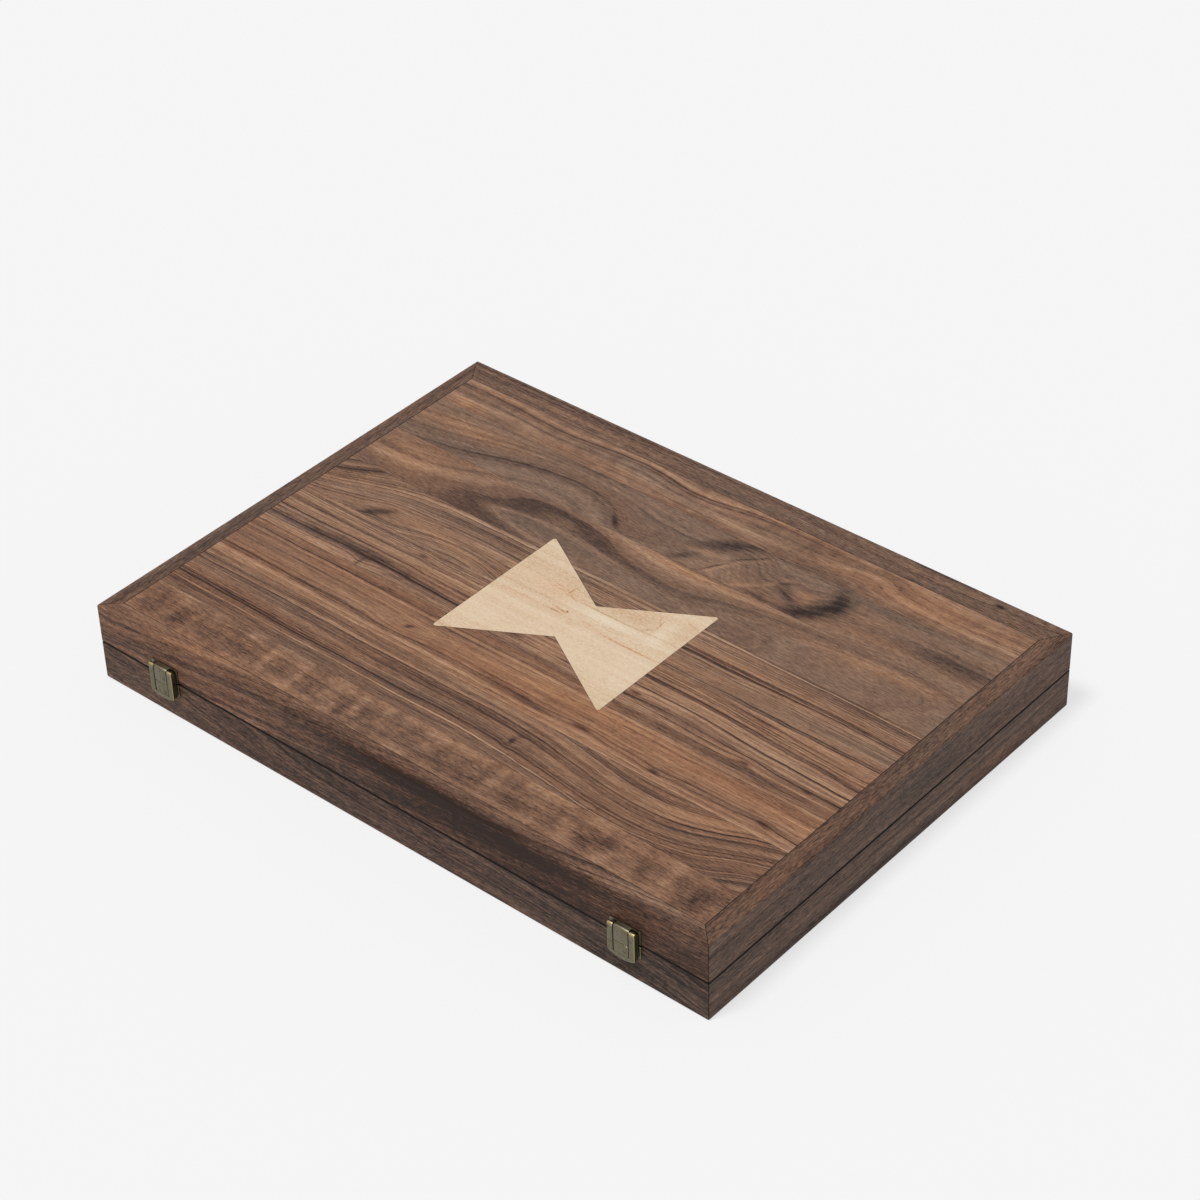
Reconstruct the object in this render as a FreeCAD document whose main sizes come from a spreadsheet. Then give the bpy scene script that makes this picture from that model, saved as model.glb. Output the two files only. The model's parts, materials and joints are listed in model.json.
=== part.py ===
"""A folding walnut game case with a butterfly key in its lid, as separate pieces in millimetres.

The case lies closed on its base. The origin is the middle of the underside, +X runs along the hinged
back, +Y points from the latched front to the hinged back, and +Z points up.
"""
import FreeCAD, Part

import math
import os
import re

import Sketcher
from FreeCAD import Vector

# Counts that belong to the design rather than to its size.
STAVES = 8
POINTS = 6
KNUCKLES = 5
HINGE_SCREWS = 3

# Driving sizes in millimetres, each with what it measures.
SIZES = {
    "box_length": (480.0, "case, outside, along the hinged back"),
    "box_width": (348.0, "case, outside, from the latched front to the back"),
    "half_height": (27.8, "each half, from its outer face to the seam"),
    "seam_gap": (0.4, "between the two halves when closed"),
    "end_rail": (12.0, "left and right rails, across"),
    "front_rail": (12.0, "front rails, across"),
    "back_rail": (19.0, "back rails, across, wide enough for the hinges"),
    "corner_radius": (1.0, "upright outer corners"),
    "outer_edge_radius": (1.2, "outer long edges, away from the seam"),
    "seam_chamfer": (0.5, "outer long edges at the seam"),
    "panel_thickness": (5.0, "glued-up panel of staves"),
    "tongue_length": (4.0, "panel's tongue, into the rails"),
    "tongue_thickness": (2.4, "panel's tongue"),
    "groove_play": (0.3, "room past the tongue for the panel to swell"),
    "edge_stave": (30.7, "first and last stave, across"),
    "key_length": (132.0, "butterfly key, along the staves"),
    "key_end": (115.2, "butterfly key, across its two ends, before the tips are rounded"),
    "key_waist": (38.6, "butterfly key, across its waist"),
    "key_depth": (3.0, "butterfly key, let into the panel"),
    "key_tip_radius": (2.0, "butterfly key, its four tips"),
    "field_thickness": (4.0, "playing field board behind the panel"),
    "point_length": (182.0, "inlaid point, base to tip"),
    "point_gap": (4.0, "between the bases of neighbouring points"),
    "point_depth": (1.2, "inlaid point, into the field board"),
    "hinge_inset": (90.0, "hinge middle, in from the case's end"),
    "hinge_length": (50.0, "hinge, along its pin"),
    "hinge_setback": (0.3, "pin centre, behind the back face"),
    "leaf_reach": (13.0, "leaf, in from the back face"),
    "leaf_thickness": (1.2, "leaf, let into the seam face"),
    "knuckle_radius": (2.6, "hinge barrel, outside"),
    "knuckle_gap": (0.4, "between neighbouring knuckles"),
    "barrel_room": (0.3, "round the barrel, to rails and the other leaf"),
    "hinge_pin_radius": (1.2, "hinge pin"),
    "hinge_pin_fit": (0.05, "hinge pin to knuckle, radial"),
    "hinge_screw_spacing": (16.0, "between screws of one leaf"),
    "hinge_screw_inset": (8.0, "screw centre, in from the back face"),
    "hinge_screw_radius": (1.1, "shank"),
    "hinge_screw_head": (2.1, "countersunk head, its radius"),
    "hinge_screw_length": (11.0, "head to end"),
    "screw_slot": (0.5, "driver slot, across"),
    "screw_slot_depth": (0.4, "driver slot, deep"),
    "screw_fit": (0.02, "screw to its hole, radial"),
    "latch_inset": (58.0, "latch middle, in from the case's end"),
    "plate_width": (22.0, "bracket and catch plates, across"),
    "plate_thickness": (0.8, "bracket and catch plates"),
    "plate_margin": (0.8, "plates' edges, from the middle of the seam"),
    "bracket_rise": (10.4, "bracket's top, above the middle of the seam"),
    "catch_drop": (9.3, "catch plate's lower edge, below the middle of the seam"),
    "lever_width": (19.5, "lever, across"),
    "lever_front": (5.0, "lever's rolled ends, out from the case's front face"),
    "lever_thickness": (1.2, "lever's front sheet"),
    "lever_rail": (3.9, "each side rail of the lever, across"),
    "lever_slot": (0.7, "slots beside the tongues"),
    "lever_shoulder": (10.2, "end of the lever's straight sides, below the middle of the seam"),
    "lever_bow": (2.3, "lever's bowed lower edge, below its shoulders"),
    "shoulder_radius": (1.0, "lever's shoulders"),
    "lever_foot": (1.0, "lever's window, its lower end above the shoulders"),
    "lever_edge_radius": (0.4, "lever's front edges"),
    "flange_thickness": (0.9, "lever's turned-back sides"),
    "flange_gap": (0.5, "lever's turned-back sides, to the plates"),
    "flange_rise": (0.8, "lever's turned-back sides, their lower ends above its shoulders"),
    "flange_drop": (0.5, "lever's turned-back sides, their upper ends below the pivot"),
    "pivot_rise": (9.0, "latch pivot, above the middle of the seam"),
    "pivot_radius": (0.6, "latch pivot pin"),
    "pivot_fit": (0.05, "latch pivot pin to its holes, radial"),
    "pivot_inset": (0.3, "latch pivot pin's ends, inside the lever"),
    "curl_radius": (1.4, "lever's rolled ends, outside"),
    "curl_chamfer": (0.3, "lever's rolled ends"),
    "curl_proud": (0.15, "lever's rolled ends, in front of its sheet"),
    "curl_cover": (0.3, "lever's sheet, its upper end below the pivot"),
    "tongue_recess": (0.1, "latch tongues, behind the lever's sheet"),
    "tongue_sheet": (1.0, "latch tongues, thick"),
    "tongue_drop": (0.8, "bracket tongue's end, below the middle of the seam"),
    "tongue_split": (0.5, "between the bracket tongue and the spring tongue"),
    "bend_radius": (1.7, "bracket's bend at its top, outside"),
    "lug_thickness": (1.0, "bracket's two pin lugs"),
    "lug_drop": (2.0, "bracket's lugs, below the pivot"),
    "nose_reach": (1.7, "catch nose, out from its plate"),
    "nose_width": (8.0, "catch nose, across"),
    "nose_top": (1.4, "catch nose's upper end, below the middle of the seam"),
    "nose_hook": (3.7, "catch nose's hooked edge, below the middle of the seam"),
    "nib_play": (0.3, "spring nib to the nose's hooked edge"),
    "nib_bite": (0.7, "spring nib, behind the nose's front"),
    "nib_flat": (0.4, "spring nib's tip"),
    "nib_ramp": (2.2, "spring nib's sloped side, along the tongue"),
    "latch_screw_offset": (7.6, "latch screw, from the latch's middle"),
    "bracket_screw_rise": (4.6, "bracket screws, above the middle of the seam"),
    "catch_screw_drop": (5.4, "catch screws, below the middle of the seam"),
    "latch_screw_radius": (0.8, "shank"),
    "latch_screw_head": (1.4, "countersunk head, its radius"),
    "latch_screw_length": (8.0, "head to end"),
}

# Places worked out from the sizes above. A "rise" or "level" is a height above the underside, and
# an "out" is a distance forward from the case's front face.
PLACES = {
    "left_out": "-box_length / 2",
    "right_out": "box_length / 2",
    "front_out": "-box_width / 2",
    "back_out": "box_width / 2",
    "left_in": "left_out + end_rail",
    "right_in": "right_out - end_rail",
    "front_in": "front_out + front_rail",
    "back_in": "back_out - back_rail",
    "panel_middle": "(front_in + back_in) / 2",
    "box_height": "2 * half_height + seam_gap",
    "seam": "box_height / 2",
    "inner_stave": f"(back_in - front_in - 2 * edge_stave) / {STAVES - 2}",
    "tongue_start": "panel_thickness - tongue_thickness",
    "groove_reach": "tongue_length + groove_play",
    "field_face": "panel_thickness + field_thickness",
    "point_pitch": f"(back_in - front_in) / {POINTS}",
    "hinge_offset": "right_out - hinge_inset",
    "hinge_line": "back_out + hinge_setback",
    "leaf_edge": "hinge_line - knuckle_radius - barrel_room",
    "knuckle_pitch": f"hinge_length / {KNUCKLES}",
    "hinge_screw_line": "back_out - hinge_screw_inset",
    "latch_offset": "right_out - latch_inset",
    "sheet_front": "lever_front - curl_proud",
    "sheet_back": "sheet_front - lever_thickness",
    "sheet_top": "pivot_level - curl_cover",
    "pivot_out": "lever_front - curl_radius",
    "pivot_level": "seam + pivot_rise",
    "window_half": "lever_width / 2 - lever_rail",
    "window_foot": "seam - lever_shoulder + lever_foot",
    "tongue_half": "window_half - lever_slot",
    "tongue_front": "sheet_front - tongue_recess",
    "tongue_back": "tongue_front - tongue_sheet",
    "bracket_top": "seam + bracket_rise",
    "spring_top": "seam - tongue_drop - tongue_split",
    "nose_front": "plate_thickness + nose_reach",
    "nib_front": "nose_front - nib_bite",
    "nib_level": "seam - nose_hook - nib_play",
    "bow_radius": "(lever_width ^ 2 / 4 + lever_bow ^ 2) / (2 * lever_bow)",
}

# The joint lines at the frame's four corners, as signs of X and Y in the order round the frame.
RAILS = {
    "front": ((-1, -1), (1, -1)),
    "right": ((1, -1), (1, 1)),
    "back": ((1, 1), (-1, 1)),
    "left": ((-1, 1), (-1, -1)),
}
HALVES = ("base", "lid")
SIDES = {"left": -1, "right": 1}
MITRE_OVERRUN = 0.2
MATCH = 1e-4

doc = FreeCAD.newDocument("folding_game_case")
sheet = doc.addObject("Spreadsheet::Sheet", "Sizes")
for row, (alias, (amount, note)) in enumerate(SIZES.items(), start=1):
    sheet.set(f"A{row}", str(amount))
    sheet.setAlias(f"A{row}", alias)
    sheet.set(f"B{row}", note)
doc.recompute()

nodes = []
cuts = []


def linked(text):
    """The text with size names tied to the sheet and place names written out."""
    def swap(match):
        word = match.group(0)
        if word in PLACES:
            return f"({linked(PLACES[word])})"
        return f"Sizes.{word}" if word in SIZES else word
    return re.sub(r"[a-z_]+", swap, text)


def size(alias):
    return float(sheet.get(alias))


def new_body(label, is_node=True):
    body = doc.addObject("PartDesign::Body", label)
    body.Label = label
    if is_node:
        nodes.append(body)
    return body


def new_sketch(body, plane, offset, shapes):
    """A sketch on one of the body's own planes, moved by offset in that plane's directions."""
    sketch = body.newObject("Sketcher::SketchObject", "Outline")
    support = next(item for item in body.Origin.OriginFeatures if item.Role == plane)
    sketch.AttachmentSupport = [(support, "")]
    sketch.MapMode = "FlatFace"
    for axis, text in zip("xyz", offset):
        sketch.setExpression(f"AttachmentOffset.Base.{axis}", linked(text))
    for draw in shapes:
        draw(sketch)
    return sketch


def hold(sketch, kind, amount, text, *where):
    index = sketch.addConstraint(Sketcher.Constraint(kind, *where, amount))
    sketch.setExpression(f"Constraints[{index}]", linked(text))


def hold_point(sketch, geometry, point, start, place):
    hold(sketch, "DistanceX", start.x, place[0], -1, 1, geometry, point)
    hold(sketch, "DistanceY", start.y, place[1], -1, 1, geometry, point)


def polygon(*corners):
    """Draws a closed outline of straight lines through corners given as pairs of sums."""
    def draw(sketch):
        count = len(corners)
        first = sketch.GeometryCount
        turn = 2 * math.pi / count
        start = [Vector(math.cos(turn * i), math.sin(turn * i), 0) for i in range(count)]
        for i in range(count):
            sketch.addGeometry(Part.LineSegment(start[i], start[(i + 1) % count]), False)
        for i in range(count):
            following = first + (i + 1) % count
            sketch.addConstraint(Sketcher.Constraint("Coincident", first + i, 2, following, 1))
        for i, corner in enumerate(corners):
            hold_point(sketch, first + i, 1, start[i], corner)
    return draw


def rectangle(low_x, high_x, low_y, high_y):
    return polygon((low_x, low_y), (high_x, low_y), (high_x, high_y), (low_x, high_y))


def circle(centre_x, centre_y, radius):
    def draw(sketch):
        centre = Vector(0, 0, 0)
        index = sketch.addGeometry(Part.Circle(centre, Vector(0, 0, 1), 1), False)
        hold_point(sketch, index, 3, centre, (centre_x, centre_y))
        hold(sketch, "Radius", 1, radius, index)
    return draw


def prism(body, kind, plane, offset, shapes, length, forward=True):
    """Pads or pockets shapes from a plane, along its normal or, if not forward, against it."""
    feature = body.newObject(f"PartDesign::{kind}", kind)
    feature.Profile = new_sketch(body, plane, offset, shapes)
    feature.setExpression("Length", linked(length))
    if kind == "Pocket":
        feature.Reversed = forward
        cuts.append(feature)
    else:
        feature.Reversed = not forward
    return feature


def turned(body, kind, plane, offset, profile, axis):
    """Turns a profile of corners about an axis of its own sketch, as a Revolution or a Groove."""
    feature = body.newObject(f"PartDesign::{kind}", kind)
    sketch = new_sketch(body, plane, offset, [polygon(*profile)])
    feature.Profile = sketch
    feature.ReferenceAxis = (sketch, [axis])
    feature.Angle = 360
    if kind == "Groove":
        cuts.append(feature)
    return feature


def dressed(body, kind, feature, chosen, amount):
    """Fillets or chamfers the edges of a feature that chosen picks out."""
    doc.recompute()
    names = [f"Edge{i}" for i, edge in enumerate(feature.Shape.Edges, start=1) if chosen(edge)]
    dress = body.newObject(f"PartDesign::{kind}", kind)
    dress.Base = (feature, names)
    dress.setExpression("Radius" if kind == "Fillet" else "Size", linked(amount))
    return dress


def near(first, second):
    return abs(first - second) < MATCH


def upright(edge):
    ends = [vertex.Point for vertex in edge.Vertexes]
    return len(ends) == 2 and near(ends[0].x, ends[1].x) and near(ends[0].y, ends[1].y)


def level(half, depth):
    """Height of a depth measured in from a half's outer face."""
    return depth if half == "base" else f"box_height - ({depth})"


def layer(body, kind, half, shapes, outer, inner):
    """Pads or pockets plan shapes between two depths below a half's outer face."""
    offset = ("0", "0", level(half, outer))
    return prism(body, kind, "XY_Plane", offset, shapes, f"{inner} - ({outer})", half == "base")


def out(distance):
    """Y of a distance forward from the case's front face."""
    return f"front_out - ({distance})"


def spaced(middle, half_width):
    return f"{middle} - ({half_width})", f"{middle} + {half_width}"


def screw_profile(kind, clearance, direction):
    """Half a countersunk screw, from its head at zero along its axis."""
    shank = f"{kind}_radius + {clearance}"
    head = f"{kind}_head + {clearance}"
    cone = f"{direction} * ({kind}_head - {kind}_radius)"
    end = f"{direction} * ({kind}_length + {clearance})"
    return ("0", "0"), (head, "0"), (shank, cone), (shank, end), ("0", end)


def hinge_screw_places():
    middle = (HINGE_SCREWS - 1) / 2
    for side in SIDES.values():
        for i in range(HINGE_SCREWS):
            yield side, f"{side} * hinge_offset + {i - middle} * hinge_screw_spacing"


def hinge_screw(body, kind, half, x, clearance):
    offset = (x, level(half, "half_height"), "-(hinge_screw_line)")
    profile = screw_profile("hinge_screw", clearance, -1 if half == "base" else 1)
    return turned(body, kind, "XZ_Plane", offset, profile, "V_Axis")


def latch_screw_places(half):
    rise = "seam - catch_screw_drop" if half == "base" else "seam + bracket_screw_rise"
    for side in SIDES.values():
        for sign in SIDES.values():
            yield side, f"{side} * latch_offset + {sign} * latch_screw_offset", rise


def latch_screw(body, kind, x, rise, clearance):
    offset = (x, out("plate_thickness"), rise)
    profile = screw_profile("latch_screw", clearance, 1)
    return turned(body, kind, "XY_Plane", offset, profile, "V_Axis")


def make_frame(half):
    """A half's frame before it is cut into rails: rounded, grooved, and let out for the hardware."""
    body = new_body(f"{half}_frame", is_node=False)
    outline = rectangle("left_out", "right_out", "front_out", "back_out")
    block = layer(body, "Pad", half, [outline], "0", "half_height")
    corners = dressed(body, "Fillet", block, upright, "corner_radius")
    doc.recompute()
    box = corners.Shape.BoundBox
    outer, inner = (box.ZMin, box.ZMax) if half == "base" else (box.ZMax, box.ZMin)

    def rim(height):
        return lambda edge: all(near(vertex.Z, height) for vertex in edge.Vertexes)

    eased = dressed(body, "Fillet", corners, rim(outer), "outer_edge_radius")
    dressed(body, "Chamfer", eased, rim(inner), "seam_chamfer")
    opening = rectangle("left_in", "right_in", "front_in", "back_in")
    layer(body, "Pocket", half, [opening], "0", "half_height")
    groove = rectangle("left_in - (groove_reach)", "right_in + groove_reach",
                       "front_in - (groove_reach)", "back_in + groove_reach")
    layer(body, "Pocket", half, [groove], "tongue_start", "panel_thickness")
    for side in SIDES.values():
        low, high = spaced(f"{side} * hinge_offset", "hinge_length / 2")
        mortise = rectangle(low, high, "back_out - leaf_reach", "back_out + corner_radius")
        layer(body, "Pocket", half, [mortise], "half_height - leaf_thickness", "half_height")
        barrel = circle("hinge_line", "seam", "knuckle_radius + barrel_room")
        prism(body, "Pocket", "YZ_Plane", ("0", "0", f"{low} - barrel_room"), [barrel],
              "hinge_length + 2 * barrel_room")
    for side, x in hinge_screw_places():
        hinge_screw(body, "Groove", half, x, "screw_fit")
    for side, x, rise in latch_screw_places(half):
        latch_screw(body, "Groove", x, rise, "screw_fit")
    return body


def mitre_point(corner, share):
    """A point on a corner's joint line: 0 at the inner corner, 1 at the outer one."""
    sides = ("left" if corner[0] < 0 else "right", "front" if corner[1] < 0 else "back")
    return tuple(f"{side}_in + {share} * ({side}_out - ({side}_in))" for side in sides)


def make_rails(half):
    """Cuts a half's frame along its mitres into four rails."""
    frame = make_frame(half)
    for name, (first, second) in RAILS.items():
        wedge = new_body(f"{half}_{name}_cut", is_node=False)
        corners = [mitre_point(first, 1 + MITRE_OVERRUN), mitre_point(second, 1 + MITRE_OVERRUN),
                   mitre_point(second, -MITRE_OVERRUN), mitre_point(first, -MITRE_OVERRUN)]
        layer(wedge, "Pad", half, [polygon(*corners)], "0", "half_height")
        label = f"{half}_{name}_rail"
        rail = doc.addObject("Part::Common", label)
        rail.Label = label
        rail.Base = frame
        rail.Tool = wedge
        nodes.append(rail)


def key_outline():
    """The butterfly: two wide ends, drawn in to a waist on the panel's middle line."""
    top = "panel_middle + key_end / 2"
    bottom = "panel_middle - key_end / 2"
    return polygon(("-key_length / 2", bottom), ("0", "panel_middle - key_waist / 2"),
                   ("key_length / 2", bottom), ("key_length / 2", top),
                   ("0", "panel_middle + key_waist / 2"), ("-key_length / 2", top))


def round_tips(body, feature):
    half_length = size("key_length") / 2
    return dressed(body, "Fillet", feature,
                   lambda edge: upright(edge) and near(abs(edge.CenterOfMass.x), half_length),
                   "key_tip_radius")


def make_key():
    body = new_body("butterfly_key")
    block = layer(body, "Pad", "lid", [key_outline()], "0", "key_depth")
    round_tips(body, block)
    return body


def stave_edge(index):
    """Y of a joint between staves, counted from the back."""
    if index in (0, STAVES):
        return "front_in" if index else "back_in"
    return f"back_in - edge_stave - {index - 1} * inner_stave"


def make_panel(half, key=None):
    """Eight staves side by side, tongued into the rails, with the recess for the key if there is one."""
    for index in range(STAVES):
        body = new_body(f"{half}_stave_{index + 1}")
        low, high = stave_edge(index + 1), stave_edge(index)
        low_end = f"{low} - tongue_length" if index == STAVES - 1 else low
        high_end = f"{high} + tongue_length" if index == 0 else high
        face = rectangle("left_in", "right_in", low, high)
        tongue = rectangle("left_in - tongue_length", "right_in + tongue_length", low_end, high_end)
        layer(body, "Pad", half, [face], "0", "tongue_start")
        layer(body, "Pad", half, [tongue], "tongue_start", "panel_thickness")
        if key is None:
            continue
        doc.recompute()
        stave, inlay = body.Shape.BoundBox, key.Shape.BoundBox
        if stave.YMin < inlay.YMax and stave.YMax > inlay.YMin:
            recess = layer(body, "Pocket", half, [key_outline()], "0", "key_depth")
            if stave.YMin < inlay.YMin or stave.YMax > inlay.YMax:
                round_tips(body, recess)


def point_outlines():
    """Six points at each end of the field, light and dark in turn, and opposite across the field."""
    outlines = {"light": [], "dark": []}
    for end, (wall, inward) in enumerate((("left_in", 1), ("right_in", -1))):
        for i in range(POINTS):
            middle = f"back_in - {i + 0.5} * point_pitch"
            low, high = spaced(middle, "(point_pitch - point_gap) / 2")
            tip = f"{wall} + {inward} * point_length"
            shade = "light" if (i + end) % 2 == 0 else "dark"
            outlines[shade].append(polygon((wall, low), (tip, middle), (wall, high)))
    return outlines


def make_field(half):
    """The board under the game, with its points let in flush."""
    points = point_outlines()
    surface, bed = "field_face", "field_face - point_depth"
    board = new_body(f"{half}_field_board")
    outline = rectangle("left_in", "right_in", "front_in", "back_in")
    layer(board, "Pad", half, [outline], "panel_thickness", surface)
    layer(board, "Pocket", half, points["light"] + points["dark"], bed, surface)
    for shade, outlines in points.items():
        layer(new_body(f"{half}_{shade}_points"), "Pad", half, outlines, bed, surface)


def make_leaf(name, side, half, own_knuckles):
    """A hinge leaf: a flat plate, its own knuckles rolled round the pin, and countersunk holes."""
    body = new_body(f"{name}_hinge_{half}_leaf")
    middle = f"{side} * hinge_offset"
    low, high = spaced(middle, "hinge_length / 2")
    depths = ("half_height - leaf_thickness", "half_height")
    layer(body, "Pad", half, [rectangle(low, high, "back_out - leaf_reach", "leaf_edge")], *depths)
    for index in own_knuckles:
        start = f"{low} + {index} * knuckle_pitch + knuckle_gap / 2"
        length = "knuckle_pitch - knuckle_gap"
        tab = rectangle(start, f"{start} + {length}", "leaf_edge", "hinge_line")
        layer(body, "Pad", half, [tab], *depths)
        barrel = circle("hinge_line", "seam", "knuckle_radius")
        prism(body, "Pad", "YZ_Plane", ("0", "0", start), [barrel], length)
    bore = circle("hinge_line", "seam", "hinge_pin_radius + hinge_pin_fit")
    prism(body, "Pocket", "YZ_Plane", ("0", "0", low), [bore], "hinge_length")
    for screw_side, x in hinge_screw_places():
        if screw_side == side:
            hinge_screw(body, "Groove", half, x, "screw_fit")


def make_hinge_pin(name, side):
    body = new_body(f"{name}_hinge_pin")
    low, high = spaced(f"{side} * hinge_offset", "hinge_length / 2")
    pin = circle("hinge_line", "seam", "hinge_pin_radius")
    prism(body, "Pad", "YZ_Plane", ("0", "0", low), [pin], "hinge_length")


def make_hinge_screws(half):
    body = new_body(f"hinge_{half}_screws")
    slots = []
    for side, x in hinge_screw_places():
        hinge_screw(body, "Revolution", half, x, "0")
        slots.append(rectangle(*spaced(x, "hinge_screw_head"),
                               *spaced("hinge_screw_line", "screw_slot / 2")))
    layer(body, "Pocket", half, slots, "half_height - screw_slot_depth", "half_height")


def make_latch_screws(half):
    body = new_body(f"latch_{half}_screws")
    slots = []
    for side, x, rise in latch_screw_places(half):
        latch_screw(body, "Revolution", x, rise, "0")
        slots.append(rectangle(*spaced(x, "latch_screw_head"), *spaced(rise, "screw_slot / 2")))
    front = ("0", "0", "box_width / 2 + plate_thickness")
    prism(body, "Pocket", "XZ_Plane", front, slots, "screw_slot_depth", forward=False)


def front_plate(body, middle, half_width, low, high):
    """A flat plate on the case's front face."""
    plate = rectangle(*spaced(middle, half_width), low, high)
    return prism(body, "Pad", "XZ_Plane", ("0", "0", "box_width / 2"), [plate], "plate_thickness")


def make_bracket(name, side):
    """The lid's bracket: a plate whose middle strip bends over the pivot and hangs down in front."""
    body = new_body(f"{name}_latch_bracket")
    middle = f"{side} * latch_offset"
    foot = "seam + plate_margin"
    strip = polygon((out("0"), foot), (out("0"), "bracket_top"), (out("tongue_front"), "bracket_top"),
                    (out("tongue_front"), "seam - tongue_drop"), (out("tongue_back"), "seam - tongue_drop"),
                    (out("tongue_back"), "bracket_top - tongue_sheet"),
                    (out("plate_thickness"), "bracket_top - tongue_sheet"), (out("plate_thickness"), foot))
    start = ("0", "0", f"{middle} - (tongue_half)")
    bent = prism(body, "Pad", "YZ_Plane", start, [strip], "2 * tongue_half")
    doc.recompute()
    box = bent.Shape.BoundBox
    inner_bend = (box.YMin + size("tongue_sheet"), box.ZMax - size("tongue_sheet"))

    def along_bend(place):
        return lambda edge: (near(edge.CenterOfMass.y, place[0]) and near(edge.CenterOfMass.z, place[1])
                             and near(edge.Length, box.XLength))

    folded = dressed(body, "Fillet", bent, along_bend((box.YMin, box.ZMax)), "bend_radius")
    dressed(body, "Fillet", folded, along_bend(inner_bend), "bend_radius - tongue_sheet")
    front_plate(body, middle, "plate_width / 2", foot, "bracket_top")
    lug = rectangle(out("tongue_back"), out("plate_thickness"),
                    "pivot_level - lug_drop", "bracket_top - bend_radius")
    for start in (f"{middle} - (tongue_half)", f"{middle} + tongue_half - lug_thickness"):
        prism(body, "Pad", "YZ_Plane", ("0", "0", start), [lug], "lug_thickness")
    hole = circle(out("pivot_out"), "pivot_level", "pivot_radius + pivot_fit")
    prism(body, "Pocket", "YZ_Plane", ("0", "0", f"{middle} - (tongue_half)"), [hole], "2 * tongue_half")
    for screw_side, x, rise in latch_screw_places("lid"):
        if screw_side == side:
            latch_screw(body, "Groove", x, rise, "screw_fit")


def make_pivot_pin(name, side):
    body = new_body(f"{name}_latch_pin")
    low, high = spaced(f"{side} * latch_offset", "(lever_width / 2 - pivot_inset)")
    pin = circle(out("pivot_out"), "pivot_level", "pivot_radius")
    prism(body, "Pad", "YZ_Plane", ("0", "0", low), [pin], f"{high} - ({low})")


def lever_outline(middle):
    """Straight sides from the rolled ends down to the shoulders, joined by one bowed lower edge."""
    def draw(sketch):
        half, drop, bow = size("lever_width") / 2, size("lever_shoulder"), size("lever_bow")
        places = ((f"{middle} - lever_width / 2", "sheet_top"),
                  (f"{middle} - lever_width / 2", "seam - lever_shoulder"),
                  (f"{middle} + lever_width / 2", "seam - lever_shoulder"),
                  (f"{middle} + lever_width / 2", "sheet_top"))
        start = [Vector(-half, 0, 0), Vector(-half, -drop, 0), Vector(half, -drop, 0), Vector(half, 0, 0)]
        radius = (half ** 2 + bow ** 2) / (2 * bow)
        spread = math.asin(half / radius)
        bowed = Part.Circle(Vector(0, radius - bow - drop, 0), Vector(0, 0, 1), radius)
        sketch.addGeometry(Part.LineSegment(start[0], start[1]), False)
        sketch.addGeometry(Part.ArcOfCircle(bowed, 1.5 * math.pi - spread, 1.5 * math.pi + spread), False)
        sketch.addGeometry(Part.LineSegment(start[2], start[3]), False)
        sketch.addGeometry(Part.LineSegment(start[3], start[0]), False)
        for first, second in ((0, 1), (1, 2), (2, 3), (3, 0)):
            sketch.addConstraint(Sketcher.Constraint("Coincident", first, 2, second, 1))
        for geometry in range(4):
            hold_point(sketch, geometry, 1, start[geometry], places[geometry])
        hold(sketch, "Radius", radius, "bow_radius", 1)
    return draw


def make_lever(name, side):
    """The lever: a front sheet with a window, sides turned back, and ends rolled round the pivot."""
    body = new_body(f"{name}_latch_lever")
    middle = f"{side} * latch_offset"
    sheet_plane = ("0", "0", "box_width / 2 + sheet_back")
    sheet_pad = prism(body, "Pad", "XZ_Plane", sheet_plane, [lever_outline(middle)], "lever_thickness")
    doc.recompute()
    box = sheet_pad.Shape.BoundBox

    def shoulder(edge):
        return near(edge.Length, box.YLength) and not near(edge.CenterOfMass.z, box.ZMax)

    def front_rim(edge):
        return near(edge.CenterOfMass.y, box.YMin) and not near(edge.CenterOfMass.z, box.ZMax)

    rounded = dressed(body, "Fillet", sheet_pad, shoulder, "shoulder_radius")
    dressed(body, "Fillet", rounded, front_rim, "lever_edge_radius")
    window = rectangle(*spaced(middle, "window_half"), "window_foot", "pivot_level + curl_radius")
    prism(body, "Pocket", "XZ_Plane", sheet_plane, [window], "lever_thickness")
    flange = rectangle(out("sheet_back"), out("plate_thickness + flange_gap"),
                       "seam - lever_shoulder + flange_rise", "pivot_level - flange_drop")
    curl = (("0", "0"), ("0", "curl_radius - curl_chamfer"), ("curl_chamfer", "curl_radius"),
            ("lever_rail - curl_chamfer", "curl_radius"),
            ("lever_rail", "curl_radius - curl_chamfer"), ("lever_rail", "0"))
    rails = ((f"{middle} - lever_width / 2", f"{middle} - lever_width / 2"),
             (f"{middle} + window_half", f"{middle} + lever_width / 2 - flange_thickness"))
    for rail_start, flange_start in rails:
        prism(body, "Pad", "YZ_Plane", ("0", "0", flange_start), [flange], "flange_thickness")
        place = (rail_start, "pivot_level", "box_width / 2 + pivot_out")
        turned(body, "Revolution", "XZ_Plane", place, curl, "H_Axis")
    bore = circle(out("pivot_out"), "pivot_level", "pivot_radius + pivot_fit")
    prism(body, "Pocket", "YZ_Plane", ("0", "0", f"{middle} - lever_width / 2"), [bore], "lever_width")


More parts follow.
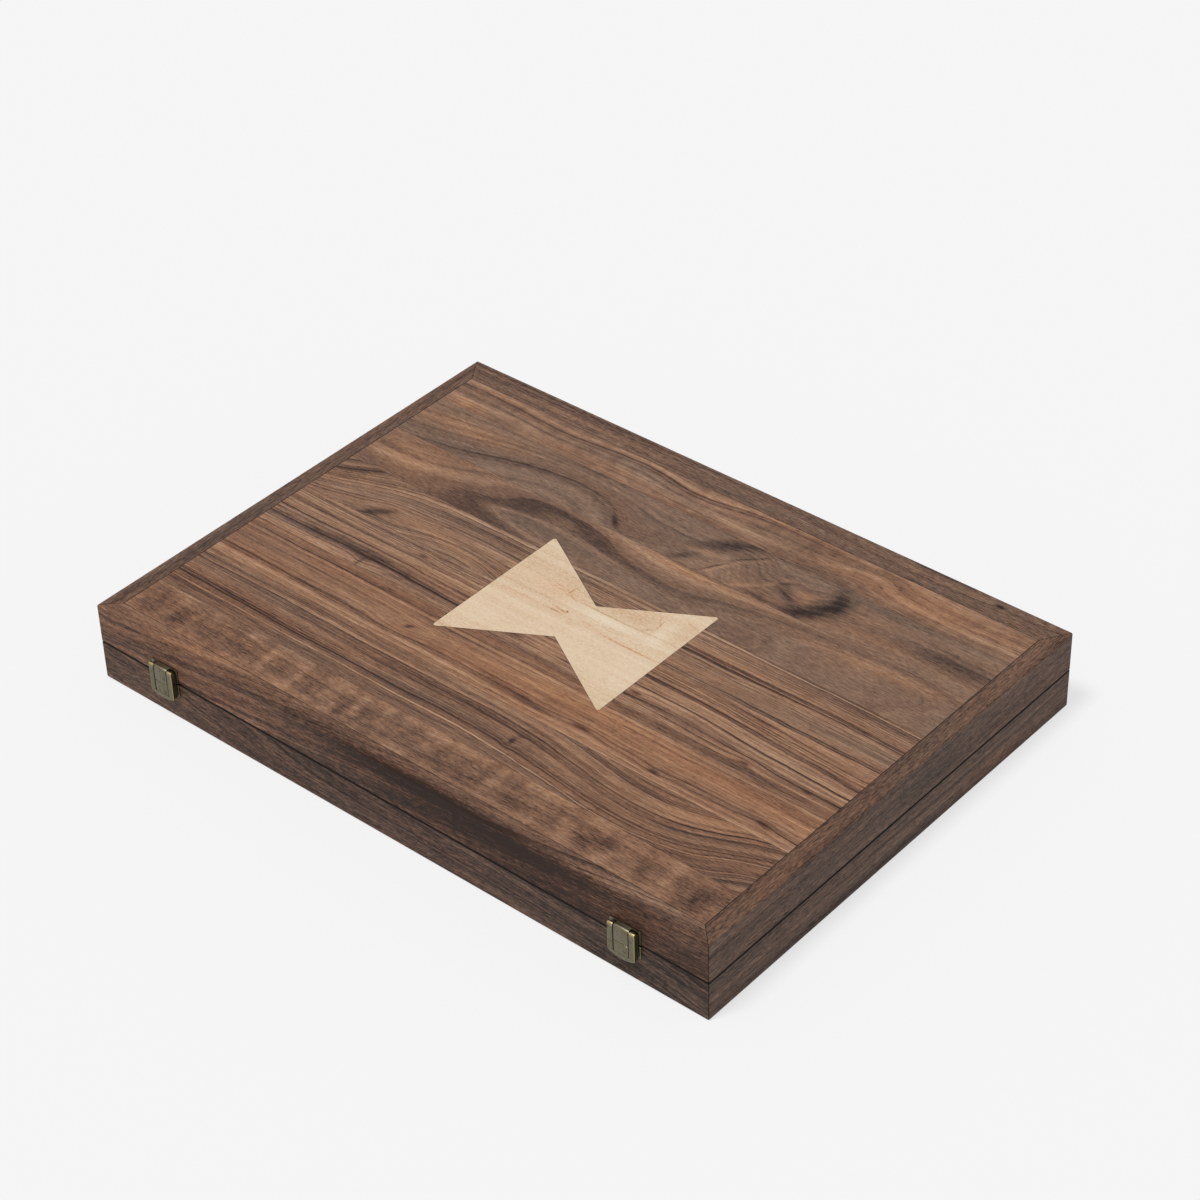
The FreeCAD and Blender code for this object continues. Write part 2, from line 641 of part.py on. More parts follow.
def make_spring(name, side):
    """The lever's spring tongue: it stands on the window's foot, and its nib snaps under the nose."""
    body = new_body(f"{name}_latch_spring")
    ramp_end = "nib_level - nib_flat - nib_ramp"
    profile = polygon((out("tongue_front"), "window_foot"), (out("tongue_front"), "spring_top"),
                      (out("tongue_back"), "spring_top"), (out("tongue_back"), "nib_level"),
                      (out("nib_front"), "nib_level"), (out("nib_front"), "nib_level - nib_flat"),
                      (out("tongue_back"), ramp_end), (out("tongue_back"), "window_foot"))
    start = ("0", "0", f"{side} * latch_offset - (tongue_half)")
    prism(body, "Pad", "YZ_Plane", start, [profile], "2 * tongue_half")


def make_catch(name, side):
    """The base's catch plate, with a nose that is sloped above and hooked below."""
    body = new_body(f"{name}_latch_catch")
    middle = f"{side} * latch_offset"
    front_plate(body, middle, "plate_width / 2", "seam - catch_drop", "seam - plate_margin")
    nose = polygon((out("plate_thickness"), "seam - nose_top"), (out("plate_thickness"), "seam - nose_hook"),
                   (out("nose_front"), "seam - nose_hook"), (out("nose_front"), "seam - nose_hook + nib_flat"))
    prism(body, "Pad", "YZ_Plane", ("0", "0", f"{middle} - nose_width / 2"), [nose], "nose_width")
    for screw_side, x, rise in latch_screw_places("base"):
        if screw_side == side:
            latch_screw(body, "Groove", x, rise, "screw_fit")


def check_model():
    """Stops if a feature failed, a cut removed nothing, or a piece is not whole."""
    for item in doc.Objects:
        if {"Invalid", "Error"} & set(item.State):
            raise RuntimeError(f"{item.Label} failed: {item.State}")
    for cut in cuts:
        if cut.Shape.Volume > cut.BaseFeature.Shape.Volume - MATCH:
            raise RuntimeError(f"{cut.Label} cut nothing")
    for node in nodes:
        if node.Shape.isNull() or not node.Shape.isValid() or not node.Shape.Solids:
            raise RuntimeError(f"{node.Label} is not a whole solid")


for half in HALVES:
    make_rails(half)
    make_field(half)
    make_hinge_screws(half)
    make_latch_screws(half)
lid_key = make_key()
doc.recompute()
make_panel("lid", lid_key)
make_panel("base")
for name, side in SIDES.items():
    make_leaf(name, side, "base", range(0, KNUCKLES, 2))
    make_leaf(name, side, "lid", range(1, KNUCKLES, 2))
    make_hinge_pin(name, side)
    make_bracket(name, side)
    make_pivot_pin(name, side)
    make_lever(name, side)
    make_spring(name, side)
    make_catch(name, side)
doc.recompute()
check_model()

os.makedirs("parts", exist_ok=True)
for node in nodes:
    node.Shape.exportStep(f"parts/{node.Label}.step")
print(f"{len(nodes)} pieces written")
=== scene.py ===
"""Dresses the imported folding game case: a walnut case, closed, with a maple butterfly key in its lid."""

import json
import math

import bpy
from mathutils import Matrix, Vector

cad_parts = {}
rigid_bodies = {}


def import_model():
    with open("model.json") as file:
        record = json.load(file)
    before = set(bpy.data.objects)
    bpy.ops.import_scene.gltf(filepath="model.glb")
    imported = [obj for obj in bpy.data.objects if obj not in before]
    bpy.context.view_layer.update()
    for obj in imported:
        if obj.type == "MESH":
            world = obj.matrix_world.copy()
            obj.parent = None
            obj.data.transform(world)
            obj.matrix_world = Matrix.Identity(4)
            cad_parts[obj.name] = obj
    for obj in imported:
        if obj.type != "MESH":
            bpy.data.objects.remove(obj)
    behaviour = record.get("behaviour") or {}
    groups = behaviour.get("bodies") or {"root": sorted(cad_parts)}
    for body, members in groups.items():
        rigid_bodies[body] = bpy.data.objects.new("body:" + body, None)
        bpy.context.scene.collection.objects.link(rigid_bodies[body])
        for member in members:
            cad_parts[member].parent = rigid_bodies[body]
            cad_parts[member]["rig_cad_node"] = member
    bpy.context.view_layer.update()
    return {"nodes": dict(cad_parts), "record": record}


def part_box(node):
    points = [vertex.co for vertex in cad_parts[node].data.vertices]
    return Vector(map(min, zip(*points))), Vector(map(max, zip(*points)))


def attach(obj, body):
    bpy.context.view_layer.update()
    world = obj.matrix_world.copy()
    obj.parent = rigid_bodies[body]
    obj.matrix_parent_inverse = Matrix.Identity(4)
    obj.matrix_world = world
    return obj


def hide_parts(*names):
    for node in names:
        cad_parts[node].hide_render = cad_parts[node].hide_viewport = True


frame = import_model()
nodes = frame["nodes"]
bpy.ops.object.select_all(action="DESELECT")


# The base's panel: eight walnut staves, planed, glued edge to edge and oiled, flush with the rails.
# Walnut is worked out here in depth, in millimetres: growth rings that drift and bend round knots, long
# dark veins, fibres, open pores and the cross figure that shows where the fibres roll.
MM_PER_METRE = 1000.0
EVERYWHERE = 9000.0


def corners(node):
    """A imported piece's lowest and highest corner, in millimetres."""
    return [[round(part * MM_PER_METRE, 2) for part in corner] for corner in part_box(node)]


LID_FACE = corners("lid_front_rail")[1][2]
SEAM_HEIGHT = LID_FACE / 2
PANEL_BACK = corners("base_back_rail")[0][1]
PANEL_FRONT = corners("base_front_rail")[1][1]
PANEL_END = corners("base_right_rail")[0][0]
TO_END = (1.0, 0.0, 0.0)
TO_BACK = (0.0, 1.0, 0.0)
UP = (0.0, 0.0, 1.0)


def srgb(red, green, blue):
    """A colour as it is read off a screen, in the shader's own terms."""
    parts = [part / 255 for part in (red, green, blue)]
    return (*[((part + 0.055) / 1.055) ** 2.4 if part > 0.04 else part / 12.92 for part in parts], 1.0)


def feed(tree, socket, value):
    """Links a socket to another node's output, or sets it to a plain value."""
    if isinstance(value, bpy.types.NodeSocket):
        tree.links.new(value, socket)
    else:
        socket.default_value = value


def sums(tree, operation, *values):
    """One step of arithmetic on numbers."""
    node = tree.nodes.new("ShaderNodeMath")
    node.operation = operation
    for socket, value in zip(node.inputs, values):
        feed(tree, socket, value)
    return node.outputs["Value"]


def places(tree, operation, *values):
    """One step of arithmetic on places, which gives a place or, for a length or a product, a number."""
    node = tree.nodes.new("ShaderNodeVectorMath")
    node.operation = operation
    for socket, value in zip(node.inputs, values):
        feed(tree, socket, value)
    return node.outputs["Value" if operation in ("LENGTH", "DOT_PRODUCT") else "Vector"]


def clouds(tree, place, size, detail=2.0, rough=0.5):
    """Noise whose features have about this size in each direction."""
    node = tree.nodes.new("ShaderNodeTexNoise")
    feed(tree, node.inputs["Vector"], places(tree, "DIVIDE", place, size))
    node.inputs["Scale"].default_value = 1.0
    node.inputs["Detail"].default_value = detail
    node.inputs["Roughness"].default_value = rough
    return node


def stripes(tree, across, detail=2.0, rough=0.5):
    """Noise along one number alone, so that it follows the grain wherever that bends."""
    node = tree.nodes.new("ShaderNodeTexNoise")
    node.noise_dimensions = "1D"
    feed(tree, node.inputs["W"], across)
    node.inputs["Scale"].default_value = 1.0
    node.inputs["Detail"].default_value = detail
    node.inputs["Roughness"].default_value = rough
    return node.outputs["Fac"]


def spot(tree, place, centre, reach, turn=0.0):
    """1 at a centre, fading to 0 over its reach in each direction. Two numbers reach through any depth."""
    node = tree.nodes.new("ShaderNodeMapping")
    node.vector_type = "TEXTURE"
    feed(tree, node.inputs["Vector"], place)
    node.inputs["Location"].default_value = (*centre, 0.0)[:3]
    node.inputs["Rotation"].default_value = (0.0, 0.0, math.radians(turn))
    node.inputs["Scale"].default_value = (*reach, EVERYWHERE)[:3]
    near = places(tree, "DOT_PRODUCT", node.outputs["Vector"], node.outputs["Vector"])
    return sums(tree, "EXPONENT", sums(tree, "MULTIPLY", near, -1.0))


def step(tree, value, low, high):
    """0 below low, 1 above high, and smooth between."""
    node = tree.nodes.new("ShaderNodeMapRange")
    node.interpolation_type = "SMOOTHSTEP"
    feed(tree, node.inputs["Value"], value)
    node.inputs["From Min"].default_value = low
    node.inputs["From Max"].default_value = high
    return node.outputs["Result"]


def shades(tree, tone, colours):
    """A ramp of colours, spread evenly from the darkest at 0 to the lightest at 1."""
    node = tree.nodes.new("ShaderNodeValToRGB")
    feed(tree, node.inputs["Fac"], tone)
    ramp = node.color_ramp
    while len(ramp.elements) < len(colours):
        ramp.elements.new(0.5)
    for i, colour in enumerate(colours):
        ramp.elements[i].position = i / (len(colours) - 1)
        ramp.elements[i].color = srgb(*colour)
    return node.outputs["Color"]


def mixed(tree, share, first, second):
    """The first colour at a share of 0, the second at 1."""
    node = tree.nodes.new("ShaderNodeMix")
    node.data_type = "RGBA"
    feed(tree, node.inputs["Factor"], share)
    sockets = [socket for socket in node.inputs if socket.type == "RGBA"]
    feed(tree, sockets[0], first)
    feed(tree, sockets[1], second)
    return next(socket for socket in node.outputs if socket.type == "RGBA")


def new_finish(name):
    """A new material, its nodes, its shader, and a point's place on the case in millimetres."""
    material = bpy.data.materials.new(name)
    material.use_nodes = True
    tree = material.node_tree
    source = tree.nodes.new("ShaderNodeTexCoord").outputs["Object"]
    case = places(tree, "MULTIPLY", source, (MM_PER_METRE, MM_PER_METRE, MM_PER_METRE))
    return material, tree, tree.nodes["Principled BSDF"], case


def moved_off(tree, place, seed, strides):
    """The place moved off to another part of the noise, so that no two pieces have one figure."""
    return places(tree, "ADD", place, [seed * stride for stride in strides])


def relief(tree, shader, height, strength, depth):
    """The small unevenness of a surface, with its depth in metres."""
    bump = tree.nodes.new("ShaderNodeBump")
    bump.inputs["Strength"].default_value = strength
    bump.inputs["Distance"].default_value = depth
    feed(tree, bump.inputs["Height"], height)
    feed(tree, shader.inputs["Normal"], bump.outputs["Normal"])


RINGS_PER_CROWD = 0.3
CROWDING = 3.0
RINGS_PER_BAND = 0.35
LATE_EDGE = 6.0
EARLY_EDGE = 4.0


def growth_rings(tree, grain, width, seed):
    """The dark late wood and the light early wood of rings of this width, and the bands they make."""
    count = sums(tree, "MULTIPLY_ADD", grain, 1.0 / width, seed * 37.0)
    crowd = stripes(tree, sums(tree, "MULTIPLY", count, RINGS_PER_CROWD), 1.0)
    count = sums(tree, "MULTIPLY_ADD", crowd, CROWDING, count)
    ring = sums(tree, "FRACT", count)
    boldness = tree.nodes.new("ShaderNodeTexWhiteNoise")
    boldness.noise_dimensions = "1D"
    feed(tree, boldness.inputs["W"], sums(tree, "FLOOR", count))
    boldness = boldness.outputs["Value"]
    late = sums(tree, "MULTIPLY", sums(tree, "POWER", ring, LATE_EDGE), boldness)
    early = sums(tree, "POWER", sums(tree, "SUBTRACT", 1.0, ring), EARLY_EDGE)
    early = sums(tree, "MULTIPLY", early, boldness)
    bands = stripes(tree, sums(tree, "MULTIPLY", count, RINGS_PER_BAND), 3.0, 0.6)
    return late, early, bands


JOINT_SHADOW = (22, 15, 12)
JOINT_CORE = 0.2


def joint_shade_lines(tree, case, colour, joints):
    """The colour with dark lines where pieces meet: planes of (facing, distance, width of line). Each line
    is painted shade for the shadow in the joint's gap, and at glued joints also their dark glue.

    A joint may end with another plane, (facing, distance), and then shows only past that. The case is
    folded in two at its middle and at its seam, so that one plane serves for both ends or both halves.
    """
    folded = places(tree, "SUBTRACT", case, (0.0, 0.0, SEAM_HEIGHT))
    folded = places(tree, "ABSOLUTE", places(tree, "MULTIPLY", folded, (1.0, 0.0, 1.0)))
    folded = places(tree, "ADD", folded, places(tree, "MULTIPLY", case, (0.0, 1.0, 0.0)))
    for facing, distance, width, *limits in joints:
        off = sums(tree, "SUBTRACT", places(tree, "DOT_PRODUCT", folded, facing), distance)
        clear = step(tree, sums(tree, "ABSOLUTE", off), JOINT_CORE * width, width)
        dark = sums(tree, "SUBTRACT", 1.0, clear)
        for limit_facing, limit in limits:
            past = sums(tree, "GREATER_THAN", places(tree, "DOT_PRODUCT", folded, limit_facing), limit)
            dark = sums(tree, "MULTIPLY", dark, past)
        # The dark line is painted shade for the gap, joined with the glue's own dark at glued joints.
        colour = mixed(tree, dark, colour, srgb(*JOINT_SHADOW))
    return colour


GREY_WALNUT = ((38, 28, 24), (77, 61, 53), (112, 89, 75), (143, 116, 97), (174, 145, 120))
GOLD_WALNUT = ((48, 30, 22), (96, 63, 47), (141, 96, 69), (172, 124, 90), (200, 155, 117))
# The sizes of the wood's features along the grain, across it and in depth, and how far the grain drifts.
DRIFT = (120.0, 36.0, 36.0)
DRIFT_BY = (7.5, 5.0, 5.0)
STREAK = (140.0, 4.0, 9.0)
THREAD = (260.0, 2.6, 8.0)
HEART = (150.0, 14.0, 20.0)
PORE = (3.0, 0.42, 0.42)
FIBRE_WIDTH = (0.55, 0.65)
CURL_WIDTH = 1.8
CURL_DEPTH = 60.0
# The parts of the noise in which a thread and a pore grow from nothing to full.
THREAD_GROWS = (0.56, 0.74)
PORE_GROWS = (0.52, 0.7)
# How much lighter early wood is, as a share of how much darker late wood is, how far the heart warms the
# colour, and how far streaks tear a patch, so that it has no smooth outline.
EARLY_SHARE = 0.28
HEART_WARMTH = 0.9
RAGGED = 3.0
# The oiled surface.
OIL_ROUGHNESS = 0.45
FIBRE_ROUGHNESS = 0.14
PORE_ROUGHNESS = 0.12
OIL_GLOSS = 0.12
PORE_HOLLOW = 0.8
GRAIN_RELIEF = 0.35
GRAIN_DEPTH = 0.00015


def wood(name, seed, tone=0.5, warmth=0.25, colours=(GREY_WALNUT, GOLD_WALNUT), along="X",
         slope=(0.0, 1.0, 0.4), rings=5.0, band=1.0, streak=1.1, line=0.35, vein=0.2, curl=0.15,
         curl_step=20.0, pores=0.2, fibre=1.15, fibre_length=11.0, bends=(), veins=(), patches=(),
         joints=()):
    """Oiled wood, worked out in depth.

    Tone goes from dark at 0 to light at 1, and warmth from the first ramp of colours to the second. Slope
    says how fast the rings are crossed along the board, across it and up, and rings how wide one is. Band,
    streak, line, vein, curl, pores and fibre say how strongly each of these shows.

    Bends are where the grain swings out: (middle, reach, turn, lift). Veins are single streaks that follow
    it: (place along the grain and across it at the lid's face, reach, change of tone). Patches are spots of
    another colour: (middle, reach, turn, change of tone, change of warmth).
    """
    material, tree, shader, case = new_finish(name)
    board = case
    if along == "Y":
        turned = tree.nodes.new("ShaderNodeMapping")
        feed(tree, turned.inputs["Vector"], case)
        turned.inputs["Rotation"].default_value = (0.0, 0.0, math.radians(90.0))
        board = turned.outputs["Vector"]
    elsewhere = moved_off(tree, board, seed, (731.0, 173.0, 59.0))

    drift = clouds(tree, elsewhere, DRIFT, 3.0, 0.6).outputs["Color"]
    drift = places(tree, "SUBTRACT", drift, (0.5, 0.5, 0.5))
    drifted = places(tree, "ADD", board, places(tree, "MULTIPLY", drift, DRIFT_BY))
    grain = places(tree, "DOT_PRODUCT", drifted, slope)
    for middle, reach, turn, lift in bends:
        grain = sums(tree, "MULTIPLY_ADD", spot(tree, drifted, middle, reach, turn), lift, grain)
    late, early, bands = growth_rings(tree, grain, rings, seed)

    parts = tree.nodes.new("ShaderNodeSeparateXYZ")
    feed(tree, parts.inputs["Vector"], drifted)
    flow = tree.nodes.new("ShaderNodeCombineXYZ")
    feed(tree, flow.inputs["X"], parts.outputs["X"])
    feed(tree, flow.inputs["Y"], grain)
    feed(tree, flow.inputs["Z"], parts.outputs["Z"])
    flow = flow.outputs["Vector"]
    along_grain = moved_off(tree, flow, seed, (913.0, 211.0, 67.0))
    along_board = moved_off(tree, drifted, seed, (517.0, 389.0, 83.0))
    streaks = clouds(tree, along_grain, STREAK, 4.0, 0.62).outputs["Fac"]
    threads = step(tree, clouds(tree, along_grain, THREAD).outputs["Fac"], *THREAD_GROWS)
    fibres = clouds(tree, along_board, (fibre_length, *FIBRE_WIDTH), 4.0, 0.7).outputs["Fac"]
    pore = step(tree, clouds(tree, along_board, PORE, 1.0).outputs["Fac"], *PORE_GROWS)
    curl_size = (curl_step, CURL_WIDTH * curl_step, CURL_DEPTH)
    figure = clouds(tree, elsewhere, curl_size, 3.0, 0.55).outputs["Fac"]
    heart = clouds(tree, along_grain, HEART).outputs["Fac"]

    total = tone - 0.5 * (band + streak + fibre + curl)
    layers = ((bands, band), (streaks, streak), (fibres, fibre), (figure, curl), (late, -line),
              (early, EARLY_SHARE * line), (threads, -vein), (pore, -pores))
    for layer, strength in layers:
        total = sums(tree, "MULTIPLY_ADD", layer, strength, total)
    warm = sums(tree, "MULTIPLY_ADD", heart, HEART_WARMTH, warmth - 0.5 * HEART_WARMTH)
    for (place, across), reach, change in veins:
        middle = (place, across + slope[2] * LID_FACE)
        total = sums(tree, "MULTIPLY_ADD", spot(tree, flow, middle, reach), change, total)
    ragged = sums(tree, "MULTIPLY_ADD", streaks, RAGGED, 1.0 - 0.5 * RAGGED)
    for middle, reach, turn, change, heat in patches:
        patch = spot(tree, drifted, middle, reach, turn)
        total = sums(tree, "MULTIPLY_ADD", sums(tree, "MULTIPLY", patch, ragged), change, total)
        warm = sums(tree, "MULTIPLY_ADD", patch, heat, warm)
    colour = mixed(tree, warm, shades(tree, total, colours[0]), shades(tree, total, colours[1]))
    feed(tree, shader.inputs["Base Color"], joint_shade_lines(tree, case, colour, joints))

    rough = sums(tree, "MULTIPLY_ADD", fibres, FIBRE_ROUGHNESS, OIL_ROUGHNESS)
    feed(tree, shader.inputs["Roughness"], sums(tree, "MULTIPLY_ADD", pore, PORE_ROUGHNESS, rough))
    shader.inputs["Specular IOR Level"].default_value = OIL_GLOSS
    relief(tree, shader, sums(tree, "MULTIPLY_ADD", pore, -PORE_HOLLOW, fibres), GRAIN_RELIEF, GRAIN_DEPTH)
    return material


def finish_in(node, material):
    """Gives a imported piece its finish."""
    slots = nodes[node].data.materials
    slots.clear()
    slots.append(material)


STAVES = 8
STAVE_EDGES = (PANEL_BACK, *[corners(f"base_stave_{i}")[0][1] for i in range(1, STAVES)], PANEL_FRONT)
GLUE_LINE = 0.13
STAVE_END_LINE = 0.4


def stave_joints(number):
    """The glue lines at a stave's two long edges, and the line where its ends enter the rails."""
    sides = [(TO_BACK, edge, GLUE_LINE) for edge in STAVE_EDGES[number - 1:number + 1]]
    return (*sides, (TO_END, PANEL_END, STAVE_END_LINE))


# Middles and reaches in these tables are millimetres, turns are degrees.
BASE_STAVES = (
    dict(tone=0.5, warmth=0.2, rings=4.5),
    dict(tone=0.46, warmth=0.3,
         bends=(((-60, 100), (70, 24), 0, -18), ((120, 95), (50, 20), 10, 10))),
    dict(tone=0.55, warmth=0.35, rings=3.8),
    dict(tone=0.48, warmth=0.15,
         bends=(((90, 20), (80, 22), 0, 20),)),
    dict(tone=0.52, warmth=0.3, rings=4.0,
         bends=(((-190, -20), (60, 30), 0, 12),)),
    dict(tone=0.5, warmth=0.4,
         bends=(((20, -70), (60, 18), 0, -16), ((170, -60), (40, 20), 0, 8))),
    dict(tone=0.45, warmth=0.25, rings=3.6),
    dict(tone=0.5, warmth=0.3, curl=0.4, curl_step=12.0),
)
for i, look in enumerate(BASE_STAVES, start=1):
    finish_in(f"base_stave_{i}", wood(f"base_stave_{i}_walnut", i + 10, joints=stave_joints(i), **look))


# The base's frame: four straight-grained walnut rails, mitred at the corners and grooved for the panel.
# Their outer edges are eased with a plane, and the faces where the halves meet have a small bevel.
CASE_END = corners("base_right_rail")[1][0]
CASE_BACK = corners("base_back_rail")[1][1]
CASE_FRONT = corners("base_front_rail")[0][1]
TO_FRONT = (0.0, -1.0, 0.0)
# The widths of the dark lines, and how deep below an outer face the lines of the seam and the panel go. The
# seam's line is painted shade for the gap between the halves.
MITRE_LINE = 0.3
SEAM_SHADE_WIDTH = 1.6
SEAM_SKIN = 0.7
PANEL_LINE = 0.45
PANEL_SKIN = 0.5


def mitre(outer, inner):
    """The upright plane of a mitre, which runs from the case's corner to the panel's."""
    run = inner[0] - outer[0]
    rise = inner[1] - outer[1]
    length = math.hypot(run, rise)
    facing = (rise / length, -run / length, 0.0)
    return facing, facing[0] * outer[0] + facing[1] * outer[1], MITRE_LINE


def seam(facing, distance):
    """The painted shade of the gap where the halves meet, on the outer face that is this far out."""
    return UP, 0.0, SEAM_SHADE_WIDTH, (facing, distance - SEAM_SKIN)


def panel_edge(facing, distance):
    """The line between rail and panel, on the case's top or underside."""
    return facing, distance, PANEL_LINE, (UP, SEAM_HEIGHT - PANEL_SKIN)


FRONT_MITRE = mitre((CASE_END, CASE_FRONT), (PANEL_END, PANEL_FRONT))
BACK_MITRE = mitre((CASE_END, CASE_BACK), (PANEL_END, PANEL_BACK))
END_JOINTS = (FRONT_MITRE, BACK_MITRE, seam(TO_END, CASE_END), panel_edge(TO_END, PANEL_END))
RAIL_JOINTS = {
    "front": (FRONT_MITRE, seam(TO_FRONT, -CASE_FRONT), panel_edge(TO_BACK, PANEL_FRONT)),
    "back": (BACK_MITRE, seam(TO_BACK, CASE_BACK), panel_edge(TO_BACK, PANEL_BACK)),
    "left": END_JOINTS,
    "right": END_JOINTS,
}
RAIL_LOOK = dict(slope=(0.0, 0.7, 0.8), rings=3.0, band=0.4, streak=0.7, line=0.18, vein=0.1, fibre=1.6,
                 fibre_length=6.0)


def rail(half, side, seed, **look):
    """A rail's finish, with its grain along its length and dark lines of painted joint shade at its mitres,
    seam and panel.

    Places on the left and right rails are given with the case turned a quarter, so that they run along X.
    """
    along = "X" if side in ("front", "back") else "Y"
    name = f"{half}_{side}_rail"
    look = RAIL_LOOK | look
    finish_in(name, wood(f"{name}_walnut", seed, along=along, joints=RAIL_JOINTS[side], **look))


rail("base", "front", 31, tone=0.285, warmth=0.23, slope=(0.1, 0.7, 0.8), band=0.4, streak=0.8, line=0.4,
     bends=(((-60, -174, 14), (160, 60, 16), 0, 10), ((120, -174, 4), (120, 60, 20), 0, -9)),
     patches=(((-200, -174, 14), (70, 40, 40), 0, 0.05, 0.0),
              ((200, -174, 14), (70, 40, 40), 0, -0.03, -0.3)))
rail("base", "back", 32, tone=0.41, warmth=0.15)
rail("base", "left", 33, tone=0.37, warmth=0.1)
rail("base", "right", 34, tone=0.405, warmth=0.1,
     patches=(((-91, 240, 10), (24, 9, 7), 0, 0.02, 0.35),))


